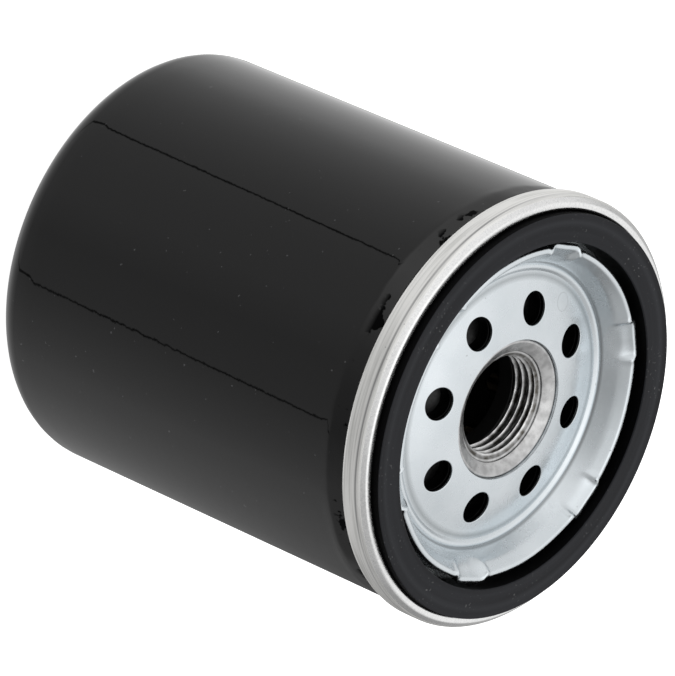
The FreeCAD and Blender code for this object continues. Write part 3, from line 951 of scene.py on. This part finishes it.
def plate_steel():
    """Bare steel of the hub, mottled round the mouth, with a painted highlight on the thread's crests,
    painted shade in its roots and near-black painted shade on the plate under the lid.
    """
    ramp_end = 20 * MM
    paint = Paint("tapped_steel", (0.42, 0.41, 0.40), 0.3, metallic=1.0)
    share = paint.math("MULTIPLY", paint.radius(), 1 / ramp_end)
    # Painted light by radius: a painted highlight on the thread's crests, painted shade in its roots, and
    # near-black painted shade on all of the plate beyond the boss, under the lid; the mouth and boss ring
    # between are mottled steel.
    pale_with_painted_light = paint.ramp(share, (0.4375, 0.90), (0.449, 0.75), (0.458, 0.36), (0.479, 0.24), (0.4875, 0.62),
                       (0.629, 0.62), (0.634, 0.02))
    dark = paint.ramp(share, (0.4375, 0.52), (0.449, 0.40), (0.458, (0.11, 0.10, 0.085)),
                      (0.479, (0.06, 0.055, 0.045)), (0.4875, 0.42), (0.629, 0.46), (0.634, 0.01))
    clouds = paint.ramp(paint.noise(650, 5.0), (0.36, 0.0), (0.62, 1.0))
    paint.colour(paint.blended(clouds, dark, pale_with_painted_light))
    paint.roughness(paint.math("MULTIPLY_ADD", paint.noise(900, 2.0), 0.2, 0.2))
    paint.bump(paint.noise(1800, 3.0), 10 * MICRON)
    return paint.material


def nitrile():
    """Moulded nitrile rubber: black, with a grey bloom on the face, fine rings and pale specks, and
    painted shade on its sides.
    """
    side_shade_tone = (0.0012, 0.0012, 0.0014)
    worn_tone = (0.034, 0.036, 0.041)
    speck_tone = (0.15, 0.15, 0.15)
    side_gloss, face_gloss = 0.05, 0.24
    paint = Paint("moulded_nitrile", (0.0015, 0.0015, 0.0017), 0.6)
    rings = paint.noise(700, 3.0, paint.rounds())
    base = paint.ramp(rings, (0.3, (0.009, 0.0095, 0.012)), (0.7, (0.018, 0.019, 0.023)))
    worn = paint.line(paint.radius(), WORN_BAND * MM, peak=0.5, slope=600.0)
    base = paint.blended(worn, base, worn_tone)
    clusters = paint.ramp(paint.noise(150, 2.0), (0.50, 0.1), (0.62, 1.0))
    specks = paint.ramp(paint.noise(2100, 1.0), (0.69, 0.0), (0.75, 0.8))
    face = paint.blended(paint.math("MULTIPLY", specks, clusters), base, speck_tone)
    # Painted shade: below the face's edge the gasket's sides take a near-black tone, darker than the face,
    # and less gloss.
    edge = (GASKET_FACE + GASKET_OUTER_RISE - 0.15) * MM
    up = paint.math("GREATER_THAN", paint.part("Z"), edge)
    paint.colour(paint.blended(up, side_shade_tone, face))
    paint.specular(paint.math("MULTIPLY_ADD", up, face_gloss - side_gloss, side_gloss))
    paint.bump(rings, 12 * MICRON)
    paint.bump(paint.noise(3500, 2.0), 6 * MICRON)
    return paint.material


def plain_rubber(name, tone):
    """Soft rubber of a given grey, with a fine grain."""
    paint = Paint(name, (tone, tone, tone * 1.05), 0.5)
    grain = paint.noise(2200, 3.0)
    paint.colour(paint.ramp(grain, (0.3, tone * 0.8), (0.7, tone * 1.3)))
    paint.bump(grain, 10 * MICRON)
    return paint.material


def bright_sheet():
    """Tin-plated sheet of the inner stampings, with draw marks running round."""
    paint = Paint("tin_plated_sheet", (0.70, 0.70, 0.70), 0.3, metallic=1.0)
    lines = paint.noise(1800, 3.0, paint.rounds())
    paint.colour(paint.ramp(lines, (0.3, (0.60, 0.60, 0.60)), (0.7, (0.76, 0.76, 0.75))))
    paint.roughness(paint.math("MULTIPLY_ADD", paint.noise(300, 3.0), 0.2, 0.22))
    paint.bump(lines, 5 * MICRON)
    return paint.material


def spring_steel():
    """Drawn spring wire with a dark oxide skin."""
    paint = Paint("spring_wire", (0.36, 0.36, 0.37), 0.32, metallic=1.0)
    scale = paint.noise(700, 4.0)
    paint.colour(paint.ramp(scale, (0.3, (0.26, 0.26, 0.27)), (0.7, (0.46, 0.46, 0.47))))
    paint.bump(paint.noise(3000, 2.0), 8 * MICRON)
    return paint.material


def filter_paper():
    """Resin-treated cellulose paper, dark brown with fibres."""
    paint = Paint("filter_paper", (0.07, 0.05, 0.03), 0.85)
    fibres = paint.noise(1600, 5.0)
    paint.colour(paint.ramp(fibres, (0.3, (0.05, 0.035, 0.02)), (0.7, (0.09, 0.065, 0.04))))
    paint.bump(fibres, 50 * MICRON)
    return paint.material


def phosphated_sheet():
    """Phosphate-blackened sheet of the tube and the bypass valve, finely crystalline."""
    paint = Paint("phosphated_sheet", (0.012, 0.012, 0.012), 0.5)
    crystals = paint.noise(2000, 4.0)
    paint.colour(paint.ramp(crystals, (0.3, 0.006), (0.7, 0.016)))
    paint.specular(0.2)
    paint.bump(crystals, 8 * MICRON)
    return paint.material


def plastisol():
    """Cured plastisol, brick red, slightly pitted."""
    paint = Paint("cured_plastisol", (0.30, 0.06, 0.03), 0.45)
    clouds = paint.noise(300, 4.0)
    paint.colour(paint.ramp(clouds, (0.3, (0.24, 0.045, 0.02)), (0.7, (0.36, 0.08, 0.04))))
    paint.bump(paint.noise(900, 3.0), 60 * MICRON)
    return paint.material


def dress(piece, material):
    """Gives an object one material."""
    if piece.material_slots:
        for place in piece.material_slots:
            place.material = material
    else:
        piece.data.materials.append(material)


def build_object():
    """All replacement pieces and the materials of every piece."""
    metal = zinc_sheet()
    tin = bright_sheet()
    wire = spring_steel()
    soft = plain_rubber("valve_rubber", 0.07)
    seal = plain_rubber("seal_rubber", 0.004)
    red = plastisol()
    dark = phosphated_sheet()
    dress(build_canister(), black_paint())
    dress(build_lid(), metal)
    dress(build_plate(), plate_steel())
    dress(build_gasket(), nitrile())
    dress(build_element_spring(), wire)
    dress(build_bypass_spring(), wire)
    dress(build_finger_spring(), wire)
    dress(NODES["seam_sealant"], plain_rubber("lining_compound", 0.18))
    dress(NODES["pleated_media"], filter_paper())
    dress(NODES["anti_drain_valve"], soft)
    for name in ("element_seal", "bypass_seal"):
        dress(NODES[name], seal)
    for name in ("upper_adhesive", "lower_adhesive"):
        dress(NODES[name], red)
    for name in ("upper_end_cap", "lower_end_cap", "media_seam_clip"):
        dress(NODES[name], tin)
    for name in ("center_tube", "bypass_seat", "bypass_cage", "bypass_disc"):
        dress(NODES[name], dark)


# ---- studio ----
CAMERA_AZIMUTH = math.radians(-12.31)
CAMERA_ELEVATION = math.radians(37.79)
CAMERA_ROLL = math.radians(113.65)
CAMERA_DISTANCE = 1.3213
CAMERA_TARGET = Vector((0.0001, 0.0005, 0.04674))
CAMERA_LENS = 403.77
FLOOR_REACH = 4.0
FLOOR_DROP = 0.0002
FLOOR_WHITE = 0.93
FLOOR_GLOW = 0.95


def build_camera():
    """Long-lens camera above the threaded end, rolled so that the filter lies across the frame."""
    data = bpy.data.cameras.new("view")
    data.lens = CAMERA_LENS
    data.sensor_width = 36
    data.sensor_fit = "AUTO"
    camera = bpy.data.objects.new("view", data)
    bpy.context.scene.collection.objects.link(camera)
    outward = Vector((math.cos(CAMERA_ELEVATION) * math.cos(CAMERA_AZIMUTH),
                      math.cos(CAMERA_ELEVATION) * math.sin(CAMERA_AZIMUTH),
                      math.sin(CAMERA_ELEVATION)))
    level = Vector((0, 0, 1)).cross(outward).normalized()
    upright = outward.cross(level)
    right = level * math.cos(CAMERA_ROLL) + upright * math.sin(CAMERA_ROLL)
    up = upright * math.cos(CAMERA_ROLL) - level * math.sin(CAMERA_ROLL)
    turn = Matrix((right, up, outward)).transposed().to_4x4()
    camera.matrix_world = Matrix.Translation(CAMERA_TARGET + outward * CAMERA_DISTANCE) @ turn
    bpy.context.scene.camera = camera


def build_floor():
    """Plain white sweep under the closed end, left out of reflections so that the cards show there."""
    mesh = bpy.data.meshes.new("floor")
    reach = FLOOR_REACH
    mesh.from_pydata([(-reach, -reach, 0), (reach, -reach, 0), (reach, reach, 0), (-reach, reach, 0)],
                     [], [(0, 1, 2, 3)])
    floor = bpy.data.objects.new("floor", mesh)
    floor.location.z = -FLOOR_DROP
    floor.visible_glossy = False
    bpy.context.scene.collection.objects.link(floor)
    paint = Paint("white_floor", (FLOOR_WHITE,) * 3, 0.9)
    paint.shader.inputs["Specular IOR Level"].default_value = 0.0
    paint.shader.inputs["Emission Color"].default_value = (1, 1, 1, 1)
    paint.shader.inputs["Emission Strength"].default_value = FLOOR_GLOW
    dress(floor, paint.material)


class Sky(Paint):
    """The studio's white panels, painted on the world by direction."""

    def __init__(self):
        world = bpy.data.worlds.new("studio")
        world.use_nodes = True
        bpy.context.scene.world = world
        self.nodes = world.node_tree.nodes
        self.links = world.node_tree.links
        self.shader = self.nodes["Background"]
        self.place = self.nodes.new("ShaderNodeTexCoord").outputs["Generated"]


# Brightness of four bands of panels, from the lowest to the one above the horizon, by direction
# round the axis in degrees. The two lowest bands differ on one side only.
LOW_PANELS_SHARED = (
    (-180, 0.90), (-134, 0.86), (-118, 0.70), (-97, 0.61), (-70, 0.53), (-24, 0.50), (0, 0.41), (28, 0.43),
    (50, 0.53), (74, 0.62),
)
LOWEST_PANELS = LOW_PANELS_SHARED + (
    (98, 0.58), (110, 0.53), (134, 0.42), (155, 0.30), (172, 0.26), (180, 0.90),
)
LOW_PANELS = LOW_PANELS_SHARED + (
    (90, 0.54), (110, 0.37), (134, 0.18), (155, 0.10), (172, 0.12), (180, 0.90),
)
HORIZON_PANELS = (
    (-180, 0.46), (-160, 0.46), (-135, 0.76), (-116, 0.66), (-96, 0.78), (-76, 0.88), (-55, 1.0),
    (-33, 0.76), (-12, 0.46), (10, 0.34), (31, 0.29), (60, 0.46), (80, 0.38), (100, 0.26), (129, 0.26),
    (147, 0.36), (160, 0.47), (180, 0.46),
)
UPPER_PANELS = (
    (-180, 0.86), (-150, 0.84), (-110, 0.80), (-60, 0.86), (-35, 0.82), (-12, 0.58), (10, 0.57),
    (37, 0.46), (70, 0.40), (120, 0.58), (142, 0.72), (150, 0.78), (160, 0.86), (180, 0.86),
)
TOP_PANEL = 1.0
ZENITH_PANEL = 1.25
GROUND_GLOW = 1.0
# Angles above the horizon, in degrees, between which one band gives way to the next one up.
LOWEST_TO_LOW = (-39.6, -36.6)
GROUND_TO_LOW = (-84, -42)
LOW_TO_HORIZON = (-35, -27)
HORIZON_TO_UPPER = (11, 27)
UPPER_TO_TOP = (42, 62)
TOP_TO_ZENITH = (66, 76)
# The gaps between the low panels: directions in degrees, tones, half widths and lean.
PANEL_GAPS = (-63.5, 30.5)
GAP_LEVEL = 0.05
GAP_CORE = math.radians(0.3)
GAP_SOFT = math.radians(0.4)
GAP_WIDENING = 0.03
GAP_LEAN = 1.6
GAP_LEAN_REACH = 0.05           # in radians above and below the panels' middle level
PANEL_LEVEL = math.radians(-38.5)


def clamped(sky, value, first, last):
    """Rises from 0 to 1 as a value goes from first to last."""
    scale = 1 / (last - first)
    made = sky.math("MULTIPLY_ADD", value, scale, -first * scale)
    return sky.math("MAXIMUM", sky.math("MINIMUM", made, 1.0), 0.0)


def risen(sky, rise, degrees):
    """Share of the upper band where one band gives way to the next."""
    first, last = degrees
    return clamped(sky, rise, math.radians(first), math.radians(last))


def build_studio():
    """Surroundings in bands of panels, one above the other, with two dark gaps in the lower ones."""
    sky = Sky()
    level = sky.radius()
    rise = sky.math("ARCTAN2", sky.part("Z"), level)
    around = sky.math("ARCTAN2", sky.part("Y"), sky.part("X"))
    share = sky.math("MULTIPLY_ADD", around, 1 / (2 * math.pi), 0.5)
    bands = [sky.ramp(share, *[((degrees + 180) / 360, grey) for degrees, grey in band])
             for band in (LOWEST_PANELS, LOW_PANELS, HORIZON_PANELS, UPPER_PANELS)]
    lower = sky.blended(risen(sky, rise, LOWEST_TO_LOW), bands[0], bands[1])
    lean = sky.math("SUBTRACT", rise, PANEL_LEVEL)
    below = sky.math("MAXIMUM", sky.math("MULTIPLY", lean, -1.0), 0.0)
    lean = sky.math("MAXIMUM", sky.math("MINIMUM", lean, GAP_LEAN_REACH), -GAP_LEAN_REACH)
    tilted = sky.math("SUBTRACT", around, sky.math("MULTIPLY", lean, GAP_LEAN))
    core = sky.math("MULTIPLY_ADD", below, GAP_WIDENING, GAP_CORE)
    for gap in PANEL_GAPS:
        away = sky.math("ABSOLUTE", sky.math("SUBTRACT", tilted, math.radians(gap)))
        away = sky.math("MULTIPLY", away, sky.math("DIVIDE", level, math.cos(PANEL_LEVEL)))
        lit = clamped(sky, sky.math("SUBTRACT", away, core), 0.0, GAP_SOFT)
        lower = sky.blended(lit, (GAP_LEVEL,) * 3, lower)
    glow = sky.blended(risen(sky, rise, GROUND_TO_LOW), (GROUND_GLOW,) * 3, lower)
    for degrees, upper in (
        (LOW_TO_HORIZON, bands[2]),
        (HORIZON_TO_UPPER, bands[3]),
        (UPPER_TO_TOP, (TOP_PANEL,) * 3),
        (TOP_TO_ZENITH, (ZENITH_PANEL,) * 3),
    ):
        glow = sky.blended(risen(sky, rise, degrees), glow, upper)
    sky.put(sky.shader.inputs["Color"], glow)
    bpy.context.scene.view_settings.view_transform = "Standard"


build_object()
build_camera()
build_floor()
build_studio()
